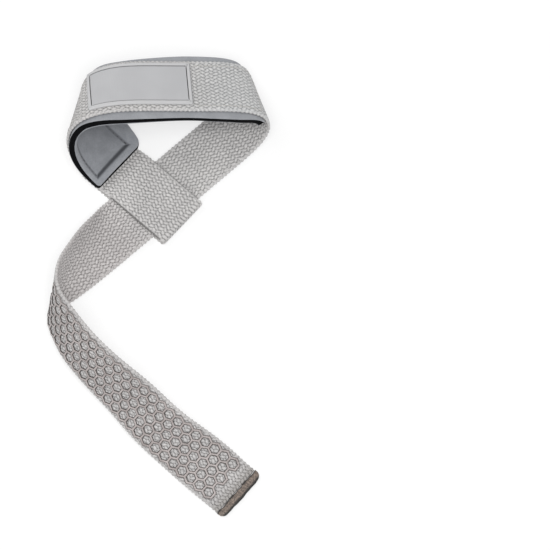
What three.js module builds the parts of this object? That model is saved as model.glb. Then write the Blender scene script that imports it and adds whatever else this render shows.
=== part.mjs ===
import * as THREE from 'three';

// Lengths in mm, angles in degrees. The strap lies on the floor, +Z up.

// Webbing
const webWidth = 38;
const webThick = 2.2;
const clearance = 0.3;
const layerStep = webThick + clearance;
const webFace = webThick / 2 + clearance;

// Keeper: the doubled end that the tail passes through, measured from the crossing toward the pad
const keeperHeading = 138;
const keeperLapEnd = 46;
const keeperFoldAt = -21.5;
const keeperStepFrom = 21.5;
const keeperStepTo = 32.5;
const keeperFoldRings = 8;

// Wrist loop: cross lines of the rolled band meet loopApex from its middle, turn in degrees per mm
const loopHalf = 160;
const loopApex = 178;
const wristTurns = [
  { along: 34, turn: 0 },
  { along: 46, turn: 1.3 },
  { along: 62, turn: 2.2 },
  { along: 78, turn: 2.8 },
  { along: 94, turn: 2.8 },
  { along: 108, turn: 1.9 },
  { along: 126, turn: 0.8 },
  { along: 146, turn: 0 },
  { along: 182, turn: 0 },
  { along: 198, turn: 1.2 },
  { along: 212, turn: 3.8 },
  { along: 224, turn: 4.9 },
  { along: 236, turn: 2.7 },
  { along: 250, turn: 0.5 },
  { along: 262, turn: 0 },
];

// Tail, from the crossing: turn in plan, rise of its middle line, roll about it, lean of its cross lines
const tailLength = 285;
const tailRows = [
  { along: 0, turn: 0, rise: 0, roll: 0, lean: 42 },
  { along: 25, turn: 0, rise: 0, roll: 0, lean: 42 },
  { along: 40, turn: 0, rise: 5, roll: -7, lean: 48 },
  { along: 55, turn: 1.6, rise: 12.2, roll: -23.8, lean: 52 },
  { along: 70, turn: 3.8, rise: 13.3, roll: -43.9, lean: 52 },
  { along: 85, turn: 17.9, rise: 17.7, roll: -73.7, lean: 42 },
  { along: 100, turn: 45.8, rise: 17.6, roll: -96.1, lean: 28 },
  { along: 115, turn: 72.9, rise: 8.7, roll: -111.2, lean: 19 },
  { along: 130, turn: 81.6, rise: 3.1, roll: -119, lean: 13.5 },
  { along: 150, turn: 90.4, rise: -4.3, roll: -122.7, lean: 7 },
  { along: 175, turn: 96.3, rise: -8.1, roll: -128.2, lean: 2 },
  { along: 200, turn: 92.2, rise: -5.7, roll: -139, lean: 0 },
  { along: 230, turn: 101.2, rise: -12.7, roll: -145.3, lean: 0 },
  { along: 250, turn: 100.5, rise: -12.2, roll: -161.1, lean: 0 },
  { along: 268, turn: 99.5, rise: -15.5, roll: -177.3, lean: 0 },
  { along: 285, turn: 98.1, rise: 0, roll: -180, lean: 0 },
];

// Spacing of the webbing's sections
const webSpacing = [
  { from: 21.5, to: 120, step: 3.5 },
  { from: 120, to: 196, step: 7 },
  { from: 196, to: 262, step: 3 },
  { from: 262, to: 345, step: 10 },
  { from: 345, to: 460, step: 4 },
  { from: 460, to: 600, step: 7 },
];

// Pad sewn inside the wrist loop: how far it reaches each side of the middle line
const padThick = 4.7;
const padRimThick = 4.4;
const padFarCorner = 3;
const padNearCorner = 1.2;
const padWidths = [
  { along: 31.5, far: 22, near: 20.2 },
  { along: 40, far: 24.4, near: 20.6 },
  { along: 47, far: 26, near: 21 },
  { along: 60, far: 25.4, near: 21.3 },
  { along: 80, far: 23.4, near: 21 },
  { along: 92, far: 22.8, near: 20.4 },
  { along: 108, far: 21.8, near: 22.2 },
  { along: 125, far: 20.8, near: 23.7 },
  { along: 165, far: 23.7, near: 22.6 },
  { along: 200, far: 22.6, near: 23.4 },
  { along: 221, far: 21, near: 20.5 },
];

// Moulded label patch on the outside of the wrist loop
const labelFrom = 100.8;
const labelTo = 168.8;
const labelFar = 16.6;
const labelNear = 14.7;
const labelCorner = 1.4;
const labelRimWidth = 3;
const labelRimThick = 1.3;
const labelFieldThick = 0.9;

// Honeycomb grip on the outer face of the tail
const gripPitch = 7.4;
const gripSqueeze = 0.94;
const gripRows = 5;
const gripCells = 23;
const gripLine = 1.1;
const gripThick = 0.7;
const gripFrom = 419.5;

// Sealed end of the tail
const tipLength = 5.5;
const tipThick = 2.6;
const tipWidth = 39;
const tipCorner = 4;

const rad = Math.PI / 180;
const loopLength = 2 * loopHalf;
const stationStep = 0.5;
const firstStation = -40;

// Value of a table's column, straight between rows
function straight(table, column, at) {
  if (at <= table[0].along) {
    return table[0][column];
  }
  for (let i = 1; i < table.length; i++) {
    if (at <= table[i].along) {
      const part = (at - table[i - 1].along) / (table[i].along - table[i - 1].along);
      return table[i - 1][column] + part * (table[i][column] - table[i - 1][column]);
    }
  }
  return table[table.length - 1][column];
}

// Value of a table's column, on a smooth curve through the rows
function curved(table, column, at) {
  const last = table.length - 1;
  const slope = (i) => {
    if (i === 0 || i === last) {
      return 0;
    }
    return (table[i + 1][column] - table[i - 1][column]) / (table[i + 1].along - table[i - 1].along);
  };
  let i = 0;
  while (i < last - 1 && at > table[i + 1].along) {
    i += 1;
  }
  const span = table[i + 1].along - table[i].along;
  const t = Math.min(Math.max((at - table[i].along) / span, 0), 1);
  const rise = t * t * (3 - 2 * t);
  const bulge = t * (1 - t) * span * ((1 - t) * slope(i) - t * slope(i + 1));
  return table[i][column] + rise * (table[i + 1][column] - table[i][column]) + bulge;
}

function ease(at, from, to) {
  const t = Math.min(Math.max((at - from) / (to - from), 0), 1);
  return t * t * (3 - 2 * t);
}

const loopLean = (at) => Math.atan((at - loopHalf) / loopApex);

// Rolls the band round the wrist loop and returns its stations: point, along, across and inner normal
function wristStations(leftScale, rightScale) {
  const heading = keeperHeading * rad;
  const tangent = new THREE.Vector3(Math.cos(heading), Math.sin(heading), 0);
  const across = new THREE.Vector3(-Math.sin(heading), Math.cos(heading), 0);
  const point = tangent.clone().multiplyScalar(firstStation);
  const stations = [];
  const count = Math.round((loopLength - firstStation) / stationStep);
  for (let i = 0; i <= count; i++) {
    const normal = new THREE.Vector3().crossVectors(tangent, across);
    stations.push({ point: point.clone(), tangent: tangent.clone(), across: across.clone(), normal });
    const at = firstStation + (i + 0.5) * stationStep;
    const lean = loopLean(at);
    const scale = at < loopHalf ? leftScale : rightScale;
    const turned = straight(wristTurns, 'turn', at) * scale * rad * stationStep;
    const axis = across.clone().multiplyScalar(-Math.cos(lean)).addScaledVector(tangent, -Math.sin(lean));
    tangent.applyAxisAngle(axis, turned / 2);
    point.addScaledVector(tangent, stationStep);
    tangent.applyAxisAngle(axis, turned / 2);
    across.applyAxisAngle(axis, turned);
  }
  return stations;
}

// Trims the two rolls until the band comes back to the keeper lying flat
function closedWrist() {
  const miss = (left, right) => {
    const stations = wristStations(left, right);
    const normal = stations[stations.length - 1].normal;
    return [normal.x, normal.y];
  };
  let left = 1;
  let right = 1;
  const nudge = 1e-4;
  for (let round = 0; round < 6; round++) {
    const now = miss(left, right);
    const byLeft = miss(left + nudge, right).map((value, i) => (value - now[i]) / nudge);
    const byRight = miss(left, right + nudge).map((value, i) => (value - now[i]) / nudge);
    const area = byLeft[0] * byRight[1] - byRight[0] * byLeft[1];
    left -= (now[0] * byRight[1] - byRight[0] * now[1]) / area;
    right -= (byLeft[0] * now[1] - now[0] * byLeft[1]) / area;
  }
  return wristStations(left, right);
}

// Carries the tail on from the keeper, its fall scaled so that the end lies on the floor
function tailStations(start) {
  const startHeading = Math.atan2(start.tangent.y, start.tangent.x);
  const climbAt = (at) => Math.sin(curved(tailRows, 'rise', at) * rad);
  const count = Math.round(tailLength / stationStep);
  let climb = 0;
  let fall = 0;
  for (let i = 0; i < count; i++) {
    const step = climbAt((i + 0.5) * stationStep) * stationStep;
    climb += Math.max(step, 0);
    fall += Math.max(-step, 0);
  }
  const tipRest = (tipThick - webThick) / 2;
  const fallScale = (climb + start.point.z + layerStep - tipRest) / fall;
  const frameAt = (at) => {
    const heading = startHeading + curved(tailRows, 'turn', at) * rad;
    const rise = climbAt(at) < 0 ? climbAt(at) * fallScale : climbAt(at);
    const level = Math.sqrt(1 - rise * rise);
    const roll = curved(tailRows, 'roll', at) * rad;
    const tangent = new THREE.Vector3(Math.cos(heading) * level, Math.sin(heading) * level, rise);
    const side = new THREE.Vector3(-Math.sin(heading), Math.cos(heading), 0);
    const above = new THREE.Vector3().crossVectors(tangent, side);
    const across = side.multiplyScalar(Math.cos(roll)).addScaledVector(above, Math.sin(roll));
    return { tangent, across, normal: new THREE.Vector3().crossVectors(tangent, across) };
  };
  const point = start.point.clone();
  const stations = [];
  for (let i = 1; i <= count; i++) {
    point.addScaledVector(frameAt((i - 0.5) * stationStep).tangent, stationStep);
    stations.push({ point: point.clone(), ...frameAt(i * stationStep) });
  }
  return stations;
}

const wrist = closedWrist();
const stations = wrist.concat(tailStations(wrist[wrist.length - 1]));

function leanAt(at) {
  if (at <= loopLength) {
    return loopLean(at);
  }
  return curved(tailRows, 'lean', at - loopLength) * rad;
}

// Point of the strap: along from the crossing, across toward the near edge, lift toward the wrist
function strapPoint(along, across, lift) {
  let at = along;
  for (let i = 0; i < 12; i++) {
    at = along - across * Math.tan(leanAt(at));
  }
  const lean = leanAt(at);
  const place = Math.min(Math.max((at - firstStation) / stationStep, 0), stations.length - 1.001);
  const low = stations[Math.floor(place)];
  const high = stations[Math.floor(place) + 1];
  const part = place - Math.floor(place);
  const beyond = at - firstStation - place * stationStep;
  const tangent = low.tangent.clone().lerp(high.tangent, part);
  const point = low.point.clone().lerp(high.point, part);
  point.addScaledVector(tangent, beyond + across * Math.tan(lean));
  point.addScaledVector(low.across.clone().lerp(high.across, part), across);
  point.addScaledVector(low.normal.clone().lerp(high.normal, part), lift);
  return point;
}

// Point of the keeper's under layer and fold: turned is 180 under the tail and 0 above it
function keeperPoint(along, turned, across, lift) {
  const heading = keeperHeading * rad;
  const run = along - Math.sin(turned * rad) * (layerStep + lift);
  const height = Math.cos(turned * rad) * (layerStep + lift);
  const x = run * Math.cos(heading) - across * Math.sin(heading);
  const y = run * Math.sin(heading) + across * Math.cos(heading);
  return new THREE.Vector3(x, y, height);
}

// Closed body between two grids of points, each indexed by its row along and column across
function gridBody(rows, columns, low, high) {
  const points = [];
  const faces = [];
  for (const side of [low, high]) {
    for (let i = 0; i < rows; i++) {
      for (let j = 0; j < columns; j++) {
        points.push(side(i, j));
      }
    }
  }
  const lowAt = (i, j) => i * columns + j;
  const highAt = (i, j) => (rows + i) * columns + j;
  const quad = (a, b, c, d) => faces.push(a, b, c, a, c, d);
  for (let i = 0; i + 1 < rows; i++) {
    for (let j = 0; j + 1 < columns; j++) {
      quad(highAt(i, j), highAt(i + 1, j), highAt(i + 1, j + 1), highAt(i, j + 1));
      quad(lowAt(i, j), lowAt(i, j + 1), lowAt(i + 1, j + 1), lowAt(i + 1, j));
    }
    const end = columns - 1;
    quad(lowAt(i, 0), lowAt(i + 1, 0), highAt(i + 1, 0), highAt(i, 0));
    quad(lowAt(i, end), highAt(i, end), highAt(i + 1, end), lowAt(i + 1, end));
  }
  for (let j = 0; j + 1 < columns; j++) {
    const end = rows - 1;
    quad(lowAt(0, j), highAt(0, j), highAt(0, j + 1), lowAt(0, j + 1));
    quad(lowAt(end, j), lowAt(end, j + 1), highAt(end, j + 1), highAt(end, j));
  }
  return meshGeometry(points, faces);
}

function meshGeometry(points, faces) {
  const geometry = new THREE.BufferGeometry();
  geometry.setFromPoints(points);
  geometry.setIndex(faces);
  geometry.computeVertexNormals();
  return geometry;
}

function evenly(from, to, parts) {
  return Array.from({ length: parts + 1 }, (_, i) => from + ((to - from) * i) / parts);
}

// How far a rounded corner draws the side in, at a distance from the end
function cornerInset(fromEnd, radius) {
  if (fromEnd >= radius) {
    return 0;
  }
  return radius - Math.sqrt(radius * radius - (radius - fromEnd) * (radius - fromEnd));
}

function webbingGeometry() {
  const places = [];
  for (const along of evenly(keeperLapEnd, keeperFoldAt, 6)) {
    places.push((across, lift) => keeperPoint(along, 180, across, lift));
  }
  for (let i = 1; i <= keeperFoldRings; i++) {
    const turned = 180 - (180 * i) / keeperFoldRings;
    places.push((across, lift) => keeperPoint(keeperFoldAt, turned, across, lift));
  }
  const alongs = evenly(keeperFoldAt, keeperStepFrom, 4).slice(1);
  const webEnd = loopLength + tailLength - tipLength - clearance;
  for (const { from, to, step } of webSpacing) {
    const end = Math.min(to, webEnd);
    alongs.push(...evenly(from, end, Math.ceil((end - from) / step)).slice(1));
  }
  for (const along of alongs) {
    const raised = layerStep * (1 - ease(along, keeperStepFrom, keeperStepTo));
    places.push((across, lift) => strapPoint(along, across, raised + lift));
  }
  const acrosses = evenly(-webWidth / 2, webWidth / 2, 6);
  const side = (lift) => (i, j) => places[i](acrosses[j], lift);
  return gridBody(places.length, acrosses.length, side(-webThick / 2), side(webThick / 2));
}

function padGeometry() {
  const from = padWidths[0].along;
  const to = padWidths[padWidths.length - 1].along;
  const ends = [0, 0.4, padNearCorner, padFarCorner];
  const alongs = ends.map((end) => from + end);
  alongs.push(...evenly(from + padFarCorner, to - padFarCorner, 40).slice(1, -1));
  alongs.push(...ends.map((end) => to - end).reverse());
  const shares = [0, 0.05, 0.14, 0.32, 0.5, 0.68, 0.86, 0.95, 1];
  const spot = (i, j) => {
    const along = alongs[i];
    const fromEnd = Math.min(along - from, to - along);
    const far = -curved(padWidths, 'far', along) + cornerInset(fromEnd, padFarCorner);
    const near = curved(padWidths, 'near', along) - cornerInset(fromEnd, padNearCorner);
    return { along, across: far + (near - far) * shares[j] };
  };
  const low = (i, j) => {
    const { along, across } = spot(i, j);
    return strapPoint(along, across, webFace);
  };
  const high = (i, j) => {
    const { along, across } = spot(i, j);
    const inward = Math.min(along - from, to - along, 60 * Math.min(shares[j], 1 - shares[j]));
    const thick = padRimThick + (padThick - padRimThick) * ease(inward, 0, 5);
    return strapPoint(along, across, webFace + thick);
  };
  return gridBody(alongs.length, shares.length, low, high);
}

function labelGeometry() {
  const long = labelTo - labelFrom;
  const wide = labelFar + labelNear;
  const edge = [0, 0.5, 1.2, labelRimWidth - 0.5, labelRimWidth + 0.2];
  const steps = (size, parts) => {
    const middle = evenly(edge[4], size - edge[4], parts).slice(1, -1);
    return [...edge, ...middle, ...edge.map((step) => size - step).reverse()];
  };
  const alongs = steps(long, 13);
  const acrosses = steps(wide, 3);
  const middle = (labelNear - labelFar) / 2;
  const spot = (i, j, thick) => {
    const inset = cornerInset(Math.min(alongs[i], long - alongs[i]), labelCorner);
    const across = middle + (acrosses[j] - wide / 2) * (1 - (2 * inset) / wide);
    return strapPoint(labelFrom + alongs[i], across, -webFace - thick);
  };
  const thickAt = (i, j) => {
    const inward = Math.min(alongs[i], long - alongs[i], acrosses[j], wide - acrosses[j]);
    const rim = labelRimThick - 0.4 * (1 - ease(inward, 0, 0.5));
    return rim + (labelFieldThick - rim) * ease(inward, edge[3], edge[4]);
  };
  return gridBody(alongs.length, acrosses.length, (i, j) => spot(i, j, thickAt(i, j)), (i, j) => spot(i, j, 0));
}

// Honeycomb net: every cell is open, its lines half shared with the cells beside it
function gripGeometry() {
  const rowStep = (gripPitch * Math.sqrt(3)) / 2;
  const reach = gripPitch / Math.sqrt(3);
  const innerReach = (gripPitch - gripLine) / Math.sqrt(3);
  const corners = new Map();
  const edges = new Map();
  const cells = [];
  const cornerAt = (along, across) => {
    const key = `${Math.round((2 * (along - gripFrom)) / gripPitch)},${Math.round((2 * across) / reach)}`;
    if (!corners.has(key)) {
      corners.set(key, { along, across, outward: [0, 0], cells: 0, key });
    }
    return corners.get(key);
  };
  for (let row = 0; row < gripRows; row++) {
    const shifted = row % 2;
    for (let cell = 0; cell < gripCells - shifted; cell++) {
      const along = gripFrom + (cell + 0.5 + shifted / 2) * gripPitch;
      const across = (row - (gripRows - 1) / 2) * rowStep;
      const outer = [];
      const inner = [];
      for (let k = 0; k < 6; k++) {
        const angle = (30 + 60 * k) * rad;
        const corner = cornerAt(along + reach * Math.cos(angle), across + reach * Math.sin(angle));
        corner.outward[0] += Math.cos(angle);
        corner.outward[1] += Math.sin(angle);
        corner.cells += 1;
        outer.push(corner);
        inner.push([along + innerReach * Math.cos(angle), across + innerReach * Math.sin(angle)]);
      }
      outer.forEach((corner, k) => {
        const name = [corner.key, outer[(k + 1) % 6].key].sort().join(' ');
        edges.set(name, (edges.get(name) || 0) + 1);
      });
      cells.push({ outer, inner });
    }
  }
  const points = [];
  const faces = [];
  const quad = (a, b, c, d) => faces.push(a, b, c, a, c, d);
  const pair = (along, open) => {
    const across = open * gripSqueeze;
    points.push(strapPoint(along, across, -webFace - gripThick), strapPoint(along, across, -webFace));
    return { low: points.length - 2, high: points.length - 1 };
  };
  for (const corner of corners.values()) {
    const long = Math.hypot(...corner.outward);
    const push = corner.cells < 3 ? gripLine / Math.sqrt(3) / long : 0;
    corner.pair = pair(corner.along + corner.outward[0] * push, corner.across + corner.outward[1] * push);
  }
  for (const { outer, inner } of cells) {
    const rim = inner.map(([along, across]) => pair(along, across));
    for (let k = 0; k < 6; k++) {
      const next = (k + 1) % 6;
      const a = outer[k].pair;
      const b = outer[next].pair;
      quad(a.high, b.high, rim[next].high, rim[k].high);
      quad(a.low, rim[k].low, rim[next].low, b.low);
      quad(rim[k].high, rim[next].high, rim[next].low, rim[k].low);
      if (edges.get([outer[k].key, outer[next].key].sort().join(' ')) === 1) {
        quad(a.high, a.low, b.low, b.high);
      }
    }
  }
  return meshGeometry(points, faces);
}

function tipGeometry() {
  const to = loopLength + tailLength;
  const alongs = [0, 0.4, 1, 2.5, 3.5, 5, tipLength].map((back) => to - back).reverse();
  const acrosses = evenly(-tipWidth / 2, tipWidth / 2, 6);
  const side = (face) => (i, j) => {
    const fromEnd = to - alongs[i];
    const across = acrosses[j] * (1 - (2 * cornerInset(fromEnd, tipCorner)) / tipWidth);
    const thick = tipThick - 0.6 * (1 - ease(fromEnd, 0, 1));
    return strapPoint(alongs[i], across, (face * thick) / 2);
  };
  return gridBody(alongs.length, acrosses.length, side(-1), side(1));
}

const nodes = [
  { name: 'webbing', geometry: webbingGeometry(), color: 0xb9b4ae, roughness: 0.95 },
  { name: 'pad', geometry: padGeometry(), color: 0x4c5058, roughness: 0.95 },
  { name: 'label_patch', geometry: labelGeometry(), color: 0xc4c2c0, roughness: 0.6 },
  { name: 'grip', geometry: gripGeometry(), color: 0xcfcac2, roughness: 0.45 },
  { name: 'end_tip', geometry: tipGeometry(), color: 0x8d827a, roughness: 0.5 },
];

// The origin is under the middle of the strap's box, on the floor
const box = new THREE.Box3();
for (const { geometry } of nodes) {
  geometry.computeBoundingBox();
  box.union(geometry.boundingBox);
}
const middle = box.getCenter(new THREE.Vector3());

const strap = new THREE.Group();
strap.name = 'padded_lifting_strap';
for (const { name, geometry, color, roughness } of nodes) {
  geometry.translate(-middle.x, -middle.y, -box.min.z);
  const mesh = new THREE.Mesh(geometry, new THREE.MeshStandardMaterial({ color, roughness }));
  mesh.name = name;
  strap.add(mesh);
}

export default strap;
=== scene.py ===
import math

import bmesh
import bpy
import numpy as np
from mathutils import Matrix, Quaternion, Vector


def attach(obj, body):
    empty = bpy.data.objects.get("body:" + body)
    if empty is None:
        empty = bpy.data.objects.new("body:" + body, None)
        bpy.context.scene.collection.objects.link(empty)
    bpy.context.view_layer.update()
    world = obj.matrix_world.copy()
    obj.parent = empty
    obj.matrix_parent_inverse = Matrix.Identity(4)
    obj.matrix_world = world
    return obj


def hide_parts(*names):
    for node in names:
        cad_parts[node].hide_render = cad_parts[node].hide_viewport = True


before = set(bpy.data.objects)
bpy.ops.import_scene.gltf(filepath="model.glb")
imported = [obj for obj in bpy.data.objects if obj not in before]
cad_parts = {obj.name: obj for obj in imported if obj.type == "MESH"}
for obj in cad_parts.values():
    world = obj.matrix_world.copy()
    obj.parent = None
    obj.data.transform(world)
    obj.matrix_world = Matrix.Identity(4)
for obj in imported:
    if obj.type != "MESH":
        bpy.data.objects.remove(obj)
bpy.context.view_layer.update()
mm = 0.001

# The strap's route as the solids have it, in mm and degrees.
# Along runs from the keeper's crossing round the wrist and out to the tip, across toward the near
# edge, and lift toward the wrist.
route = {
    "crossing": (-2.909, 62.883, 3.604),
    "heading": 138,
    "layer": 2.5,
    "lapEnd": 46,
    "foldAt": -21.5,
    "stepFrom": 21.5,
    "stepTo": 32.5,
    "loopHalf": 160,
    "loopApex": 178,
    "tailLength": 285,
    "tipRest": 0.2,
    "firstStation": -40,
    "stationStep": 0.5,
    "closeRounds": 6,
    "leanRounds": 12,
}
wristTurns = np.array([  # along, degrees per mm
    (34, 0), (46, 1.3), (62, 2.2), (78, 2.8), (94, 2.8), (108, 1.9), (126, 0.8), (146, 0),
    (182, 0), (198, 1.2), (212, 3.8), (224, 4.9), (236, 2.7), (250, 0.5), (262, 0),
])
tailColumns = ("along", "turn", "rise", "roll", "lean")
tailRows = np.array([
    (0, 0, 0, 0, 42),
    (25, 0, 0, 0, 42),
    (40, 0, 5, -7, 48),
    (55, 1.6, 12.2, -23.8, 52),
    (70, 3.8, 13.3, -43.9, 52),
    (85, 17.9, 17.7, -73.7, 42),
    (100, 45.8, 17.6, -96.1, 28),
    (115, 72.9, 8.7, -111.2, 19),
    (130, 81.6, 3.1, -119, 13.5),
    (150, 90.4, -4.3, -122.7, 7),
    (175, 96.3, -8.1, -128.2, 2),
    (200, 92.2, -5.7, -139, 0),
    (230, 101.2, -12.7, -145.3, 0),
    (250, 100.5, -12.2, -161.1, 0),
    (268, 99.5, -15.5, -177.3, 0),
    (285, 98.1, 0, -180, 0),
])
loopLength = 2 * route["loopHalf"]
strapEnd = loopLength + route["tailLength"]


def smoothColumn(at, places, values):  # a smooth curve through a table's rows
    slopes = np.zeros(len(values))
    slopes[1:-1] = (values[2:] - values[:-2]) / (places[2:] - places[:-2])
    row = np.clip(np.searchsorted(places, at, side="right") - 1, 0, len(places) - 2)
    span = places[row + 1] - places[row]
    t = np.clip((at - places[row]) / span, 0, 1)
    bulge = t * (1 - t) * span * ((1 - t) * slopes[row] - t * slopes[row + 1])
    return values[row] + t * t * (3 - 2 * t) * (values[row + 1] - values[row]) + bulge


def tailValue(column, at):
    return smoothColumn(np.asarray(at, float), tailRows[:, 0], tailRows[:, tailColumns.index(column)])


def ease(at, start, end):
    t = np.clip((np.asarray(at, float) - start) / (end - start), 0, 1)
    return t * t * (3 - 2 * t)


def leanAt(at):  # lean of the straight lines across the band
    loop = np.arctan((at - route["loopHalf"]) / route["loopApex"])
    return np.where(at <= loopLength, loop, np.radians(tailValue("lean", at - loopLength)))


# A station is a row of twelve: its point, then the ways along, across and lift there.
liftLevel = slice(9, 11)  # the lift's x and y, both 0 where the band lies flat


def wristStations(leftScale, rightScale):
    step = route["stationStep"]
    heading = math.radians(route["heading"])
    tangent = Vector((math.cos(heading), math.sin(heading), 0))
    across = Vector((-math.sin(heading), math.cos(heading), 0))
    point = tangent * route["firstStation"]
    count = round((loopLength - route["firstStation"]) / step)
    places = route["firstStation"] + (np.arange(count + 1) + 0.5) * step
    turns = np.radians(np.interp(places, wristTurns[:, 0], wristTurns[:, 1])) * step
    turns *= np.where(places < route["loopHalf"], leftScale, rightScale)
    leans = np.arctan((places - route["loopHalf"]) / route["loopApex"])
    made = []
    for turn, lean in zip(turns, leans):
        made.append((*point, *tangent, *across, *tangent.cross(across)))
        axis = -(across * math.cos(lean) + tangent * math.sin(lean))
        half = Quaternion(axis, turn / 2)
        tangent.rotate(half)
        point = point + tangent * step
        tangent.rotate(half)
        across.rotate(Quaternion(axis, turn))
    return np.array(made)


def closedWrist():  # trims the two rolls until the band comes back flat
    scales = np.ones(2)
    nudge = 1e-4
    for _ in range(route["closeRounds"]):
        miss = wristStations(*scales)[-1, liftLevel]
        nudged = [wristStations(*(scales + nudge * side))[-1, liftLevel] for side in np.eye(2)]
        slopes = (np.array(nudged) - miss) / nudge
        scales -= np.linalg.solve(slopes.T, miss)
    return wristStations(*scales)


def tailStations(start):
    step = route["stationStep"]
    count = round(route["tailLength"] / step)
    middles = (np.arange(count) + 0.5) * step
    climb = np.sin(np.radians(tailValue("rise", middles))) * step
    drop = start[2] + route["layer"] - route["tipRest"]
    fallScale = (climb[climb > 0].sum() + drop) / -climb[climb < 0].sum()
    startHeading = math.atan2(start[4], start[3])

    def frames(at):
        heading = startHeading + np.radians(tailValue("turn", at))
        rise = np.sin(np.radians(tailValue("rise", at)))
        rise = np.where(rise < 0, rise * fallScale, rise)
        level = np.sqrt(1 - rise * rise)
        roll = np.radians(tailValue("roll", at))[:, None]
        tangent = np.stack([np.cos(heading) * level, np.sin(heading) * level, rise], 1)
        side = np.stack([-np.sin(heading), np.cos(heading), 0 * heading], 1)
        across = np.cos(roll) * side + np.sin(roll) * np.cross(tangent, side)
        return tangent, across, np.cross(tangent, across)

    points = start[:3] + np.cumsum(frames(middles)[0] * step, 0)
    return np.hstack([points, *frames(middles + step / 2)])


wrist = closedWrist()
stations = np.vstack([wrist, tailStations(wrist[-1])])
print("route", len(stations), "stations")


def strapPlace(flat):  # (along, across, lift) in mm to a place in metres
    along, across, lift = flat.T
    at = along.copy()
    for _ in range(route["leanRounds"]):
        at = along - across * np.tan(leanAt(at))
    place = np.clip((at - route["firstStation"]) / route["stationStep"], 0, len(stations) - 1.001)
    low = place.astype(int)
    part = (place - low)[:, None]
    mixed = stations[low] * (1 - part) + stations[low + 1] * part
    beyond = at - route["firstStation"] - place * route["stationStep"]
    slide = beyond + across * np.tan(leanAt(at))
    spot = mixed[:, :3] + mixed[:, 3:6] * slide[:, None]
    spot = spot + mixed[:, 6:9] * across[:, None] + mixed[:, 9:] * lift[:, None]
    return (spot + np.array(route["crossing"])) * mm


lapRun = route["lapEnd"] - route["foldAt"]
foldRun = math.pi * route["layer"]
toStrap = lapRun + foldRun - route["foldAt"]  # the webbing's run where along is 0


def webbingPlace(flat):  # run from the cut end, round the keeper's fold and on along the strap
    run, across, lift = flat.T
    along = run - lapRun - foldRun + route["foldAt"]
    raised = route["layer"] * (1 - ease(along, route["stepFrom"], route["stepTo"]))
    onStrap = strapPlace(np.stack([along, across, lift + raised], 1))
    heading = math.radians(route["heading"])
    turned = math.pi * (1 - np.clip((run - lapRun) / foldRun, 0, 1))
    reach = route["layer"] + lift
    back = np.where(run < lapRun, route["lapEnd"] - run, route["foldAt"]) - np.sin(turned) * reach
    x = back * math.cos(heading) - across * math.sin(heading)
    y = back * math.sin(heading) + across * math.cos(heading)
    keeper = (np.stack([x, y, np.cos(turned) * reach], 1) + np.array(route["crossing"])) * mm
    return np.where((run < lapRun + foldRun)[:, None], keeper, onStrap)


def layPiece(name, bm, place, materials, node):  # bends a flat piece onto the strap
    flatMap = bm.loops.layers.uv.new("flat")
    for face in bm.faces:
        face.smooth = True
        for loop in face.loops:
            loop[flatMap].uv = loop.vert.co.xy
    mesh = bpy.data.meshes.new(name)
    bm.to_mesh(mesh)
    bm.free()
    flat = np.empty(len(mesh.vertices) * 3)
    mesh.vertices.foreach_get("co", flat)
    flat = flat.reshape(-1, 3)
    mesh.attributes.new("lift", "FLOAT", "POINT").data.foreach_set("value", flat[:, 2].copy())
    mesh.vertices.foreach_set("co", place(flat).ravel())
    mesh.update()
    piece = bpy.data.objects.new(name, mesh)
    bpy.context.collection.objects.link(piece)
    for material in materials:
        mesh.materials.append(material)
    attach(piece, "root")
    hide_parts(node)
    print(name, len(mesh.polygons), "faces")
    return piece


def thicken(bm, rise):  # gives a flat shape its thickness
    made = bmesh.ops.extrude_face_region(bm, geom=bm.faces[:])
    raised = [item for item in made["geom"] if isinstance(item, bmesh.types.BMVert)]
    bmesh.ops.translate(bm, vec=(0, 0, rise), verts=raised)
    bmesh.ops.recalc_face_normals(bm, faces=bm.faces)


def roundEdges(bm, edges, radius, segments):
    bmesh.ops.bevel(
        bm, geom=edges, offset=radius, segments=segments, profile=0.5, affect="EDGES", material=-1
    )


def bisectEvery(bm, low, high, count, normal):  # cuts a flat piece so that it can bend
    for k in range(1, count):
        spot = low + (high - low) * k / count
        geometry = bm.verts[:] + bm.edges[:] + bm.faces[:]
        bmesh.ops.bisect_plane(bm, geom=geometry, plane_co=Vector(normal) * spot, plane_no=normal)


def heightOf(edge):
    return abs(edge.verts[0].co.z - edge.verts[1].co.z)


def isWall(face):
    return abs(face.normal.z) < 0.5


mixColours = (6, 7)  # a Mix node's colour sockets
mixResult = 2


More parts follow.
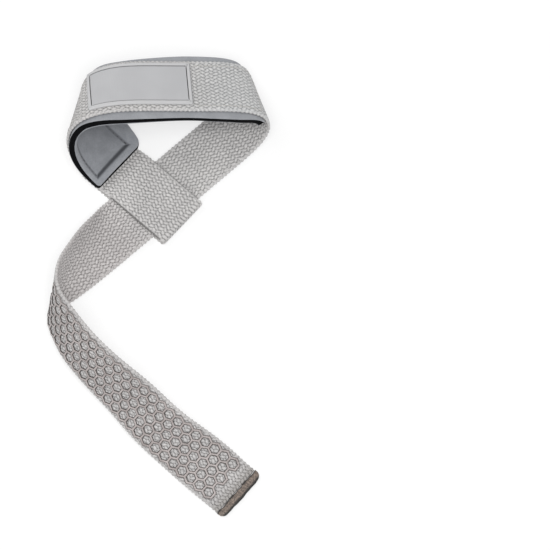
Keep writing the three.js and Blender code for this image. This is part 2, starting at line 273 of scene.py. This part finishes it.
class Wire:  # a shader socket that Python's operators act on
    def __init__(self, tree, socket=None):
        self.tree = tree
        self.socket = socket

    def node(self, kind, settings=None, inputs=None, output=0):
        made = self.tree.nodes.new(kind)
        for key, value in (settings or {}).items():
            setattr(made, key, value)
        for key, value in (inputs or {}).items():
            if isinstance(value, Wire):
                self.tree.links.new(value.socket, made.inputs[key])
            else:
                made.inputs[key].default_value = value
        return Wire(self.tree, made.outputs[output])

    def math(self, operation, *values):
        return self.node("ShaderNodeMath", {"operation": operation}, dict(enumerate(values)))

    def __add__(self, other):
        return self.math("ADD", self, other)

    def __sub__(self, other):
        return self.math("SUBTRACT", self, other)

    def __rsub__(self, other):
        return self.math("SUBTRACT", other, self)

    def __mul__(self, other):
        return self.math("MULTIPLY", self, other)

    def __truediv__(self, other):
        return self.math("DIVIDE", self, other)

    def __pow__(self, other):
        return self.math("POWER", self, other)

    def __abs__(self):
        return self.math("ABSOLUTE", self)

    __radd__ = __add__
    __rmul__ = __mul__

    def fraction(self):
        return self.math("FRACT", self)

    def larger(self, other):
        return self.math("MAXIMUM", self, other)

    def between(self, low, high):  # 0 below low, 1 above high
        settings = {"interpolation_type": "SMOOTHSTEP"}
        inputs = {"Value": self, "From Min": low, "From Max": high}
        return self.node("ShaderNodeMapRange", settings, inputs)

    def blend(self, first, second):  # a colour that goes from first to second as this goes from 0 to 1
        inputs = {"Factor": self}
        for socket, colour in zip(mixColours, (first, second)):
            inputs[socket] = colour if isinstance(colour, Wire) else (*colour, 1)
        return self.node("ShaderNodeMix", {"data_type": "RGBA"}, inputs, mixResult)

    def tinted(self, tint):  # one colour times another
        settings = {"data_type": "RGBA", "blend_type": "MULTIPLY"}
        inputs = {"Factor": 1.0, mixColours[0]: self, mixColours[1]: tint}
        return self.node("ShaderNodeMix", settings, inputs, mixResult)


def startMaterial(name, **fixed):
    material = bpy.data.materials.new(name)
    material.use_nodes = True
    tree = material.node_tree
    shader = tree.nodes["Principled BSDF"]
    for key, value in fixed.items():
        shader.inputs[key.replace("_", " ")].default_value = value
    return material, Wire(tree), shader


def finishMaterial(wire, shader, colour, roughness=None, height=None, depth=0.0002, strength=1.0):
    wire.tree.links.new(colour.socket, shader.inputs["Base Color"])
    if roughness is not None:
        wire.tree.links.new(roughness.socket, shader.inputs["Roughness"])
    if height is not None:
        inputs = {"Height": height, "Distance": depth, "Strength": strength}
        bump = wire.node("ShaderNodeBump", {}, inputs)
        wire.tree.links.new(bump.socket, shader.inputs["Normal"])


def flatCoordinates(wire):  # mm along and across the laid-out piece
    flat = wire.node("ShaderNodeUVMap", {"uv_map": "flat"})
    along = wire.node("ShaderNodeSeparateXYZ", {}, {0: flat}, 0)
    across = wire.node("ShaderNodeSeparateXYZ", {}, {0: flat}, 1)
    return flat, along, across


def liftOf(wire):  # mm from the webbing's middle
    return wire.node("ShaderNodeAttribute", {"attribute_name": "lift"}, {}, "Fac")


def noise(wire, scale, detail=2.0, roughness=0.5, vector=None):
    where = vector or wire.node("ShaderNodeTexCoord", {}, {}, "Object")
    inputs = {"Vector": where, "Scale": scale, "Detail": detail, "Roughness": roughness}
    return wire.node("ShaderNodeTexNoise", {}, inputs)


# Webbing

webbing = {
    "width": 38,
    "thick": 2.2,
    "ringStep": 0.62,
    "columns": 24,
    "edgeRound": 0.62,
    "edgeSharp": 26,
    "selvedge": 0.6,
    "selvedgeSharp": 12,
    "selvedgePitch": 2.9,
    "selvedgeShift": 2,  # radians between the two edges' scallops
    "tipGap": 5.8,
}
weave = {
    "period": 5.7,
    "pitch": 2.55,
    "long": 0.34,
    "wide": 0.53,
    "slants": (0.85, -0.85),
    "wanderAcross": 0.575,
    "wanderAlong": 0.46,
    "deepest": -0.35,
    "selvedgeFrom": 17,
    "selvedgeTo": 18,
    "rib": 2.7,
    "ribHigh": 0.7,
    "ribRound": 0.35,
    "fibre": 0.35,
    "gapShade": (0.205, 0.201, 0.199),
    "yarn": (0.665, 0.657, 0.653),
    "tints": ((0.8, 0.795, 0.795), (1.13, 1.12, 1.11)),
    "bumpDepth": 0.0006,
    "faceBand": 0.3,
    "shade": (0.06, 0.058, 0.056),  # under the keeper's two edges
    "nearEdge": (17.5, 18.5),
    "nearShade": 0.75,
    "farEdge": (-17.8, -18.6),
    "farShade": 0.5,
    "film": (0.35, 0.31, 0.31),  # in the cells of the net
    "filmShare": 0.1,
    "filmReach": 12,
    "innerDark": (0.26, 0.15, 0.148),  # darker and warmer on the tail's inner face
    "innerDarkShare": 0.12,
    "innerDarkReach": 40,
    "paintedLight": (0.68, 0.76, 0.8),  # painted light on the loop's outer face, past the label
    "paintedLightShare": 0.14,
    "paintedLightFrom": 145,
    "paintedLightTo": 200,
    "paintedLightFade": 40,
    "soak": (0.17, 0.15, 0.125),  # beside the sealed end
    "soakShare": 0.5,
    "soakReach": 9,
}


def weaveMaterial():
    finish = {"Roughness": 0.92, "Sheen_Weight": 0.2, "Specular_IOR_Level": 0.2}
    material, wire, shader = startMaterial("cottonWeave", **finish)
    flat, along, across = flatCoordinates(wire)
    lift = liftOf(wire)
    wander = (noise(wire, 0.3, vector=flat) - 0.5) * weave["wanderAcross"]
    drift = (noise(wire, 0.22, vector=flat) - 0.5) * weave["wanderAlong"]

    def grains(phase, slant):  # rounded yarn floats, one set of the two that interlock
        v = (across / weave["pitch"] + phase + wander).fraction() - 0.5
        u = (along / weave["period"] + phase + drift).fraction() - 0.5
        return 1 - (u / weave["long"]) ** 2 - ((v + u * slant) / weave["wide"]) ** 2

    floats = grains(0.0, weave["slants"][0]).larger(grains(0.5, weave["slants"][1]))
    ribs = weave["ribHigh"] - ((along / weave["rib"]).fraction() * 2 - 1) ** 2 * weave["ribRound"]
    atEdge = abs(across).between(weave["selvedgeFrom"], weave["selvedgeTo"])
    shape = floats.larger(weave["deepest"]) * (1 - atEdge) + ribs * atEdge
    height = shape + (noise(wire, 2600, detail=3.0, roughness=0.6) - 0.5) * weave["fibre"]
    cloudy = noise(wire, 42, detail=3.0, roughness=0.55)
    uneven = noise(wire, 0.6, roughness=0.6, vector=flat)
    tint = (cloudy * 0.35 + uneven * 0.65).between(0.3, 0.7).blend(*weave["tints"])
    # painted shade: the colour darkens where the weave's height is low, in the gaps between the grains
    tone = height.between(-0.5, 1.0).blend(weave["gapShade"], weave["yarn"]).tinted(tint)

    keeperStart = lapRun + foldRun
    keeperEnd = keeperStart + 2 * route["stepFrom"]
    onKeeper = along.between(keeperStart - 1, keeperStart + 1) * along.between(keeperEnd + 1, keeperEnd - 1)
    nearShade = across.between(*weave["nearEdge"]) * weave["nearShade"]
    farShade = across.between(*weave["farEdge"]) * weave["farShade"]
    tone = (onKeeper * (nearShade + farShade)).blend(tone, weave["shade"])

    outer = lift.between(weave["faceBand"], -weave["faceBand"])
    gripStart = toStrap + grip["from"]
    tailStart = toStrap + loopLength
    paintedLightFrom = toStrap + weave["paintedLightFrom"]
    sealed = toStrap + strapEnd - tip["length"]
    film = outer * along.between(gripStart - weave["filmReach"], gripStart + weave["filmReach"])
    innerDark = (1 - outer) * along.between(tailStart, tailStart + weave["innerDarkReach"])
    # painted light: the loop's outer face past the label is lightened
    paintedLight = outer * along.between(paintedLightFrom, toStrap + weave["paintedLightTo"])
    paintedLight = paintedLight * along.between(tailStart, tailStart - weave["paintedLightFade"])
    soak = along.between(sealed - weave["soakReach"], sealed + 1)
    for name, mask in (("film", film), ("innerDark", innerDark), ("paintedLight", paintedLight), ("soak", soak)):
        tone = (mask * weave[name + "Share"]).blend(tone, weave[name])
    finishMaterial(wire, shader, tone, height=height, depth=weave["bumpDepth"])
    return material


def makeWebbing():
    length = toStrap + strapEnd - webbing["tipGap"]
    half = webbing["width"] / 2
    bm = bmesh.new()
    rings = round(length / webbing["ringStep"])
    bmesh.ops.create_grid(bm, x_segments=rings, y_segments=webbing["columns"], size=0.5)
    bmesh.ops.translate(bm, vec=(0.5, 0, -0.5), verts=bm.verts)
    thicken(bm, 1)
    bmesh.ops.scale(bm, vec=(length, 1, webbing["thick"]), verts=bm.verts)
    for vert in bm.verts:  # columns crowd toward the selvedges, which are rounded and scalloped
        share = math.sin(vert.co.y * math.pi)
        shift = 0 if share > 0 else webbing["selvedgeShift"]
        loops = math.sin(2 * math.pi * vert.co.x / webbing["selvedgePitch"] + shift)
        inset = webbing["selvedge"] * (0.5 + 0.5 * loops) * abs(share) ** webbing["selvedgeSharp"]
        vert.co.y = share * (half - inset)
        vert.co.z *= 1 - webbing["edgeRound"] * abs(share) ** webbing["edgeSharp"]
    piece = layPiece("webbing", bm, webbingPlace, [weaveMaterial()], "webbing")
    length * mm


# Pad

pad = {
    "from": 31.5,
    "to": 221,
    "farCorner": 3,
    "nearCorner": 1.2,
    "under": 1.4,
    "thick": 4.4,
    "cloth": 0.22,
    "seamHalf": 15,
    "seamFromEnd": 6,
    "seamDepth": 1.1,
    "seamWide": 1.5,
    "cell": 1.7,
    "columns": 28,
    "edgeCrease": 0.9,
    "swellCap": 0.6,
    "pressure": 4,
    "swellSteps": 20,
    "simScale": 0.01,
    "cloths": ((0.25, 0.26, 0.28), (0.335, 0.347, 0.37)),
    "outerPaintedLight": (0.44, 0.445, 0.46),
    "outerPaintedLightShare": 0.2,
    "innerDarkShare": 0.2,
    "paintedShade": (0.05, 0.053, 0.06),
    "foams": ((0.002, 0.002, 0.0025), (0.009, 0.009, 0.01)),
}
padColumns = ("along", "far", "near", "slant")  # far and near reach, the near edge's slant inward
padRows = np.array([
    (31.5, 22, 20.2, 1.2),
    (40, 24.4, 20.6, 1.2),
    (47, 26, 21, 1.2),
    (60, 25.4, 21.3, 0.9),
    (80, 23.4, 20.4, -0.9),
    (92, 22.8, 19.7, -2.4),
    (108, 21.8, 21.6, -2.7),
    (125, 20.8, 23.4, -2.0),
    (165, 23.7, 22.6, -0.7),
    (200, 22.6, 23.4, -0.7),
    (221, 21, 20.5, -0.5),
])


def padValue(column, along):
    return float(smoothColumn(np.float64(along), padRows[:, 0], padRows[:, padColumns.index(column)]))


def cornerInset(fromEnd, radius):
    return radius - math.sqrt(radius ** 2 - max(radius - fromEnd, 0) ** 2)


def clothMaterial():
    finish = {"Roughness": 0.9, "Sheen_Weight": 0.3, "Specular_IOR_Level": 0.2}
    material, wire, shader = startMaterial("brushedLining", **finish)
    _, along, across = flatCoordinates(wire)
    nap = noise(wire, 1500, detail=4.0, roughness=0.65)
    patches = noise(wire, 130, detail=4.0, roughness=0.65)
    colour = (nap * 0.5 + patches * 0.5).between(0.35, 0.65).blend(*pad["cloths"])
    inside = liftOf(wire).between(pad["under"] + 1.2, pad["under"] + 1.6)
    # painted light: below the inner face the cloth is made lighter
    colour = ((1 - inside) * pad["outerPaintedLightShare"]).blend(colour, pad["outerPaintedLight"])
    middle = (pad["from"] + pad["to"]) / 2
    reach = (pad["to"] - pad["from"]) / 2 - pad["seamFromEnd"]
    outEnd = abs(along - middle) - reach
    outSide = abs(across) - pad["seamHalf"]
    out = outEnd.larger(outSide)
    # painted shade: inside the seam the inner face is darkened
    innerDark = out.between(0.5, -1.5) * inside * pad["innerDarkShare"]
    sewnEnd = (outEnd - outSide).between(-0.6, 0.6)  # painted shade in the sewn crease, wider and darker across the ends
    crease = abs(out).between(sewnEnd * 0.8 + 1.6, 0.4) * inside * (sewnEnd * 0.4 + 0.55)
    colour = innerDark.larger(crease).blend(colour, pad["paintedShade"])
    finishMaterial(wire, shader, colour, height=nap, depth=0.00018, strength=0.7)
    return material


def foamMaterial():
    material, wire, shader = startMaterial("foamEdge", Roughness=0.95, Specular_IOR_Level=0.05)
    cells = noise(wire, 2200, detail=3.0, roughness=0.7)
    colour = cells.between(0.3, 0.75).blend(*pad["foams"])
    finishMaterial(wire, shader, colour, height=cells, depth=0.00025, strength=0.8)
    return material


def seamDistance(x, y):  # distance from the rectangle the pad is sewn along
    inX = min(x - pad["from"], pad["to"] - x) - pad["seamFromEnd"]
    inY = pad["seamHalf"] - abs(y)
    if inX >= 0 and inY >= 0:
        return min(inX, inY)
    return math.hypot(min(inX, 0), min(inY, 0))


def swellPad(bm):  # cloth under pressure, held along the seam and underneath
    scale = pad["simScale"]
    mesh = bpy.data.meshes.new("padSwell")
    bm.to_mesh(mesh)
    for vert in mesh.vertices:
        vert.co *= scale
    body = bpy.data.objects.new("padSwell", mesh)
    bpy.context.collection.objects.link(body)
    held = body.vertex_groups.new(name="held")
    for vert in bm.verts:
        under = vert.co.z < pad["under"] + 0.01
        sewn = seamDistance(vert.co.x, vert.co.y) < pad["cell"] * 0.55
        if under or sewn:
            held.add([vert.index], 1.0, "REPLACE")
    cloth = body.modifiers.new("swell", "CLOTH")
    cloth.settings.use_pressure = True
    cloth.settings.uniform_pressure_force = pad["pressure"]
    cloth.settings.vertex_group_mass = "held"
    cloth.settings.effector_weights.gravity = 0
    cloth.point_cache.frame_start = 1
    cloth.point_cache.frame_end = pad["swellSteps"]
    for step in range(1, pad["swellSteps"] + 1):
        bpy.context.scene.frame_set(step)
    shaped = body.evaluated_get(bpy.context.evaluated_depsgraph_get()).to_mesh()
    for vert, moved in zip(bm.verts, shaped.vertices):
        change = moved.co / scale - vert.co
        if change.length > pad["swellCap"]:
            change *= pad["swellCap"] / change.length
        vert.co += change
        vert.co.z = max(vert.co.z, pad["under"])
    bpy.context.scene.frame_set(1)
    bpy.data.objects.remove(body)
    print("pad swelled")


def makePad():
    bm = bmesh.new()
    long = pad["to"] - pad["from"]
    rows = round(long / pad["cell"])
    bmesh.ops.create_grid(bm, x_segments=rows, y_segments=pad["columns"], size=0.5)
    bmesh.ops.translate(bm, vec=(0.5, 0.5, 0), verts=bm.verts)
    thicken(bm, 1)
    walls = [face for face in bm.faces if isWall(face)]
    uprights = {edge for face in walls for edge in face.edges if heightOf(edge) > 0}
    bmesh.ops.subdivide_edges(bm, edges=list(uprights), cuts=2, use_grid_fill=True)
    skin = pad["cloth"] / pad["thick"]
    for vert in bm.verts:  # share of length, width and thickness to mm
        along = pad["from"] + long * vert.co.x
        fromEnd = min(along - pad["from"], pad["to"] - along)
        far = cornerInset(fromEnd, pad["farCorner"]) - padValue("far", along)
        near = padValue("near", along) - cornerInset(fromEnd, pad["nearCorner"])
        near -= padValue("slant", along) * vert.co.z
        vert.co.x = along
        vert.co.y = far + (near - far) * vert.co.y
        if 0.1 < vert.co.z < 0.9:  # the wall's two cuts part the foam from the cloths
            vert.co.z = skin if vert.co.z < 0.5 else 1 - skin
        fromSeam = seamDistance(vert.co.x, vert.co.y) / pad["seamWide"]
        sunk = math.exp(-fromSeam ** 2) * (vert.co.z > 0.95)
        vert.co.z = pad["under"] + pad["thick"] * vert.co.z - pad["seamDepth"] * sunk
    bm.verts.index_update()
    swellPad(bm)
    bm.normal_update()
    for face in bm.faces:  # the cut edge shows the foam between its two cloths
        levels = sorted(vert.co.z for vert in face.verts)
        tall = levels[-1] - levels[0] > pad["thick"] / 2
        face.material_index = 1 if tall and isWall(face) else 0
    crease = bm.edges.layers.float.new("crease_edge")
    for edge in bm.edges:
        if len({face.material_index for face in edge.link_faces}) > 1:
            edge[crease] = pad["edgeCrease"]
    piece = layPiece("pad", bm, strapPlace, [clothMaterial(), foamMaterial()], "pad")
    smooth = piece.modifiers.new("round", "SUBSURF")
    smooth.levels = smooth.render_levels = 1


# Label patch

label = {
    "from": 100.8,
    "to": 168.8,
    "far": -16.6,
    "near": 14.7,
    "corner": 1.4,
    "under": 1.4,
    "rimThick": 1.35,
    "rim": 2.4,
    "soft": 0.6,
    "wall": 0.15,
    "groove": 1.2,
    "grooveDepth": 0.8,
    "fieldStep": 0.25,
    "bendsAlong": 40,
    "bendsAcross": 8,
    "fields": ((0.47, 0.472, 0.484), (0.495, 0.497, 0.509)),
    "rimColour": (0.555, 0.555, 0.562),
    "sideGrooveShade": (0.25, 0.25, 0.257),
    "endGrooveShade": (0.03, 0.03, 0.031),
    "endWallShade": (0.36, 0.36, 0.37),
}
labelMiddle = ((label["from"] + label["to"]) / 2, (label["near"] + label["far"]) / 2)
labelSize = (label["to"] - label["from"], label["near"] - label["far"])


def rubberMaterial():
    material, wire, shader = startMaterial("labelRubber", Roughness=0.62, Specular_IOR_Level=0.35)
    _, along, across = flatCoordinates(wire)
    grain = noise(wire, 1900, detail=3.0, roughness=0.6)
    cloudy = noise(wire, 55)
    outEnd = abs(along - labelMiddle[0]) - labelSize[0] / 2 + label["rim"]
    outSide = abs(across - labelMiddle[1]) - labelSize[1] / 2 + label["rim"]
    onRim = outEnd.larger(outSide).between(-0.03, 0.03)
    colour = onRim.blend(cloudy.between(0.3, 0.7).blend(*label["fields"]), label["rimColour"])
    field = label["fieldStep"] - label["under"] - label["rimThick"]
    sunk = liftOf(wire).between(field + 0.03, field + 0.2) * (1 - onRim)
    # painted shade on the groove's floor, darkest across the two ends
    groove = outEnd.between(-1.6, -1.3).blend(label["sideGrooveShade"], label["endGrooveShade"])
    colour = sunk.blend(colour, groove)
    # painted shade on the softened outer edge at the two ends
    softFrom = label["rim"] - label["soft"]
    colour = outEnd.between(softFrom - 0.1, softFrom + 0.1).blend(colour, label["endWallShade"])
    finishMaterial(wire, shader, colour, height=grain, depth=0.00008, strength=0.5)
    return material


def makeLabel():
    bm = bmesh.new()
    bmesh.ops.create_cube(bm, size=1)
    middleLift = -label["under"] - label["rimThick"] / 2
    bmesh.ops.scale(bm, vec=(*labelSize, label["rimThick"]), verts=bm.verts)
    bmesh.ops.translate(bm, vec=(*labelMiddle, middleLift), verts=bm.verts)
    uprights = [edge for edge in bm.edges if heightOf(edge) > label["rimThick"] / 2]
    roundEdges(bm, uprights, label["corner"], 5)
    bm.normal_update()
    face = min(bm.faces, key=lambda item: item.calc_center_median().z)
    bmesh.ops.inset_region(bm, faces=[face], thickness=label["soft"], depth=0)
    kept = set(face.verts)
    for vert in bm.verts:  # softened outer edge
        if vert.co.z < middleLift and vert not in kept:
            vert.co.z += label["soft"]
    for thickness, depth in (
        (label["rim"] - label["soft"], 0),
        (label["wall"], -label["grooveDepth"]),
        (label["groove"], 0),
        (label["wall"], label["grooveDepth"] - label["fieldStep"]),
    ):
        bmesh.ops.inset_region(bm, faces=[face], thickness=thickness, depth=depth)
    bisectEvery(bm, label["from"], label["to"], label["bendsAlong"], (1, 0, 0))
    bisectEvery(bm, label["far"], label["near"], label["bendsAcross"], (0, 1, 0))
    piece = layPiece("labelPatch", bm, strapPlace, [rubberMaterial()], "label_patch")
    for polygon in piece.data.polygons:
        polygon.use_smooth = False


# Honeycomb grip

grip = {
    "pitch": 7.4,
    "squeeze": 0.94,
    "rows": 5,
    "cells": 23,
    "line": 2.1,
    "thick": 0.75,
    "from": 419.5,
    "under": 1.35,
    "round": 0.7,
    "squash": 0.6,
    "crests": ((0.33, 0.293, 0.284), (0.52, 0.472, 0.46)),
    "footShade": (0.06, 0.05, 0.047),
    "outerFootShade": (0.27, 0.25, 0.245),
}


def siliconeMaterial(name, footShadeColour):
    material, wire, shader = startMaterial(name, Roughness=0.42, Specular_IOR_Level=0.35)
    cloudy = noise(wire, 160, detail=3.0, roughness=0.6)
    speckle = noise(wire, 1500, roughness=0.6)
    crest = (cloudy * 0.5 + speckle * 0.5).between(0.35, 0.65).blend(*grip["crests"])
    top = -grip["under"] - grip["thick"] * grip["squash"]
    # painted shade: the net's walls darken toward the webbing, less on the border's outer walls
    colour = liftOf(wire).between(top + 0.02, top + 0.1).blend(crest, footShadeColour)
    finishMaterial(wire, shader, colour, height=speckle, depth=0.0001, strength=0.4)
    return material


def makeGrip():
    bm = bmesh.new()
    reach = grip["pitch"] / math.sqrt(3)
    for row in range(grip["rows"]):
        shifted = row % 2
        for cell in range(grip["cells"] - shifted):
            along = grip["from"] + (cell + 0.5 + shifted / 2) * grip["pitch"]
            across = (row - (grip["rows"] - 1) / 2) * reach * 1.5
            spot = Matrix.Translation((along, across, -grip["under"]))
            bmesh.ops.create_circle(bm, cap_ends=True, radius=reach, segments=6, matrix=spot)
    bmesh.ops.remove_doubles(bm, verts=bm.verts, dist=0.05)
    bmesh.ops.recalc_face_normals(bm, faces=bm.faces)
    cells = bm.faces[:]
    border = [vert for vert in bm.verts if vert.is_boundary]
    moves = []
    for vert in border:  # the net's outer lines are as wide as the rest
        centres = [face.calc_center_median() for face in vert.link_faces]
        inward = sum(centres, Vector()) / len(centres)
        moves.append((vert.co - inward).normalized() * grip["line"] / math.sqrt(3))
    bmesh.ops.inset_individual(bm, faces=cells, thickness=grip["line"] / 2, depth=0, use_even_offset=True)
    for vert, move in zip(border, moves):
        vert.co += move
    bmesh.ops.delete(bm, geom=cells, context="FACES")
    thicken(bm, -grip["thick"])
    for vert in border:
        for face in vert.link_faces:
            if isWall(face):
                face.material_index = 1
    middleLift = -grip["under"] - grip["thick"] / 2
    rims = [
        edge for edge in bm.edges
        if all(vert.co.z < middleLift for vert in edge.verts) and any(map(isWall, edge.link_faces))
    ]
    roundEdges(bm, rims, grip["round"], 2)
    seat = Matrix.Translation((0, 0, grip["under"]))
    bmesh.ops.scale(bm, vec=(1, grip["squeeze"], grip["squash"]), space=seat, verts=bm.verts)
    inner = siliconeMaterial("siliconeNet", grip["footShade"])
    outer = siliconeMaterial("siliconeBorder", grip["outerFootShade"])
    layPiece("gripNet", bm, strapPlace, [inner, outer], "grip")


# Sealed end

tip = {
    "length": 5.5,
    "width": 38.2,
    "thick": 2.6,
    "corner": 4,
    "edge": 0.7,
    "bends": 40,
    "wave": 0.14,
    "slowWave": 0.45,  # radians per mm
    "fastWave": 1.05,
    "bulge": 0.7,
    "bodies": ((0.09, 0.07, 0.06), (0.3, 0.235, 0.19)),
    "endColour": (0.018, 0.015, 0.013),
    "backColour": (0.04, 0.034, 0.03),
}


def sealMaterial():
    material, wire, shader = startMaterial("sealedEnd")
    flat, along, _ = flatCoordinates(wire)
    streak = noise(wire, 0.9, detail=3.0, roughness=0.6, vector=flat)
    lumps = noise(wire, 420, detail=3.0, roughness=0.6)
    fromEnd = strapEnd - along + (lumps - 0.5) * 2
    body = streak.between(0.35, 0.7).blend(*tip["bodies"])
    colour = fromEnd.between(0.5, 1.8).blend(tip["endColour"], body)
    backEdge = fromEnd.between(tip["length"] - 1.3, tip["length"] - 0.4)
    colour = backEdge.blend(colour, tip["backColour"])
    roughness = lumps.between(0.2, 0.8) * 0.2 + 0.45
    finishMaterial(wire, shader, colour, roughness, lumps, depth=0.0004, strength=0.6)
    return material


def makeTip():
    bm = bmesh.new()
    bmesh.ops.create_cube(bm, size=1)
    middle = strapEnd - tip["length"] / 2
    bmesh.ops.scale(bm, vec=(tip["length"], tip["width"], tip["thick"]), verts=bm.verts)
    bmesh.ops.translate(bm, vec=(middle, 0, 0), verts=bm.verts)
    uprights = [
        edge for edge in bm.edges
        if heightOf(edge) > tip["thick"] / 2 and edge.verts[0].co.x > middle
    ]
    roundEdges(bm, uprights, tip["corner"], 6)
    bm.normal_update()
    rims = [edge for edge in bm.edges if heightOf(edge) < 0.1]
    roundEdges(bm, rims, tip["edge"], 3)
    bisectEvery(bm, -tip["width"] / 2, tip["width"] / 2, tip["bends"], (0, 1, 0))
    for vert in bm.verts:  # the dip set unevenly
        fromEnd = (strapEnd - vert.co.x) / tip["length"]
        slow = vert.co.y * tip["slowWave"]
        fast = vert.co.y * tip["fastWave"]
        endWave = math.sin(slow + 0.8) + 0.5 * math.sin(fast + 2)
        backWave = math.sin(slow + 2.2) + 0.8 * math.sin(fast)
        vert.co.x += tip["wave"] * (endWave * (1 - fromEnd) + backWave * fromEnd)
        vert.co.x += tip["bulge"] * (1 - fromEnd) * (0.5 - (2 * vert.co.y / tip["width"]) ** 2)
    layPiece("endTip", bm, strapPlace, [sealMaterial()], "end_tip")


# Stitches

stitch = {
    "long": 3.2,
    "pitch": 3.5,
    "wide": 1.0,
    "high": 0.5,
    "plyAlong": 1.4,
    "plyAcross": 2.2,
    "padStand": 0.12,
    "webStand": 0.1,
    "labelGap": 2,
    "padThread": ((0.05, 0.052, 0.057), (0.015, 0.016, 0.018)),
    "webThread": ((0.6, 0.59, 0.57), (0.33, 0.32, 0.31)),
}


def threadMaterial(name):
    material, wire, shader = startMaterial(name, Roughness=0.7, Sheen_Weight=0.2)
    _, along, across = flatCoordinates(wire)
    twist = along * stitch["plyAlong"] + across * stitch["plyAcross"]
    ply = (twist.fraction() * 2 - 1) ** 2
    # painted shade: the thread's colour darkens between the plies, where the height is low
    finishMaterial(wire, shader, ply.blend(*stitch[name]), height=1 - ply, depth=0.0001, strength=0.6)
    return material


def sewLine(bm, start, end, lift):  # a row of stitches on the flat piece
    run = Vector(end) - Vector(start)
    count = max(1, round(run.length / stitch["pitch"]))
    turn = Matrix.Rotation(math.atan2(run.y, run.x), 4, "Z")
    size = Matrix.Diagonal((stitch["long"] / 2, stitch["wide"] / 2, stitch["high"] / 2, 1))
    for k in range(count):
        spot = Vector(start) + run * (k + 0.5) / count
        matrix = Matrix.Translation((spot.x, spot.y, lift)) @ turn @ size
        bmesh.ops.create_icosphere(bm, subdivisions=2, radius=1, matrix=matrix)


def makeSeams():
    low, high = pad["from"] + pad["seamFromEnd"], pad["to"] - pad["seamFromEnd"]
    half = pad["seamHalf"]
    padSide = bmesh.new()
    lift = pad["under"] + pad["thick"] - pad["seamDepth"] + stitch["padStand"]
    for start, end in (
        ((low, -half), (high, -half)), ((low, half), (high, half)),
        ((low, -half), (low, half)), ((high, -half), (high, half)),
    ):
        sewLine(padSide, start, end, lift)
    layPiece("padSeam", padSide, strapPlace, [threadMaterial("padThread")], "pad")
    webSide = bmesh.new()
    lift = -webbing["thick"] / 2 - stitch["webStand"]
    before, after = label["from"] - stitch["labelGap"], label["to"] + stitch["labelGap"]
    for start, end in (
        ((low, -half), (before, -half)), ((low, half), (before, half)),
        ((after, -half), (high, -half)), ((after, half), (high, half)),
        ((high, -half), (high, half)),
    ):
        sewLine(webSide, start, end, lift)
    layPiece("webSeam", webSide, strapPlace, [threadMaterial("webThread")], "webbing")


# Floor, light and camera

studio = {
    "photoCentre": (75.085, 12.678, 0.0),
    "elevation": 71,
    "lens": 1000,
    "viewWidth": 355.9,
    "floorSize": 6,
    "floors": ((0.41, 0.41, 0.41), (0.43, 0.43, 0.43)),
    "floorGlow": 0.58,
    "skyStrength": 0.45,
    "lamps": {  # place and size in metres, then power in watts
        "key": ((0.08, -0.5, 1.9), 1.3, 22),
        "fill": ((-0.9, 0.6, 1.2), 1.2, 5),
    },
}


def makeFloor():
    bm = bmesh.new()
    bmesh.ops.create_grid(bm, x_segments=8, y_segments=8, size=studio["floorSize"] / 2)
    mesh = bpy.data.meshes.new("floor")
    bm.to_mesh(mesh)
    bm.free()
    floor = bpy.data.objects.new("floor", mesh)
    bpy.context.collection.objects.link(floor)
    glow = {"Emission_Color": (1, 1, 1, 1), "Emission_Strength": studio["floorGlow"]}
    material, wire, shader = startMaterial("paleFloor", Roughness=0.8, **glow)
    finishMaterial(wire, shader, noise(wire, 30).between(0.2, 0.8).blend(*studio["floors"]))
    mesh.materials.append(material)


def makeLights(aim):
    world = bpy.data.worlds.new("tent")
    bpy.context.scene.world = world
    world.use_nodes = True
    sky = world.node_tree.nodes["Background"]
    sky.inputs["Color"].default_value = (1, 1, 1, 1)
    sky.inputs["Strength"].default_value = studio["skyStrength"]
    for name, (place, size, power) in studio["lamps"].items():
        lamp = bpy.data.lights.new(name, "AREA")
        lamp.shape = "DISK"
        lamp.size = size
        lamp.energy = power
        holder = bpy.data.objects.new(name, lamp)
        holder.location = Vector(place)
        holder.rotation_euler = (aim - holder.location).to_track_quat("-Z", "Y").to_euler()
        bpy.context.collection.objects.link(holder)


def makeCamera(aim):
    camera = bpy.data.cameras.new("camera")
    camera.lens = studio["lens"]
    eye = bpy.data.objects.new("camera", camera)
    distance = studio["viewWidth"] * mm * camera.lens / camera.sensor_width
    tilt = math.radians(studio["elevation"])
    eye.location = aim + Vector((0, -math.cos(tilt), math.sin(tilt))) * distance
    eye.rotation_euler = (math.radians(90 - studio["elevation"]), 0, 0)
    bpy.context.collection.objects.link(eye)
    bpy.context.scene.camera = eye
    bpy.context.scene.view_settings.view_transform = "Standard"


def makeStudio():
    aim = Vector(studio["photoCentre"]) * mm
    makeFloor()
    makeLights(aim)
    makeCamera(aim)
    print("floor, lights and camera set")


makeWebbing()
makePad()
makeLabel()
makeGrip()
makeTip()
makeSeams()
makeStudio()
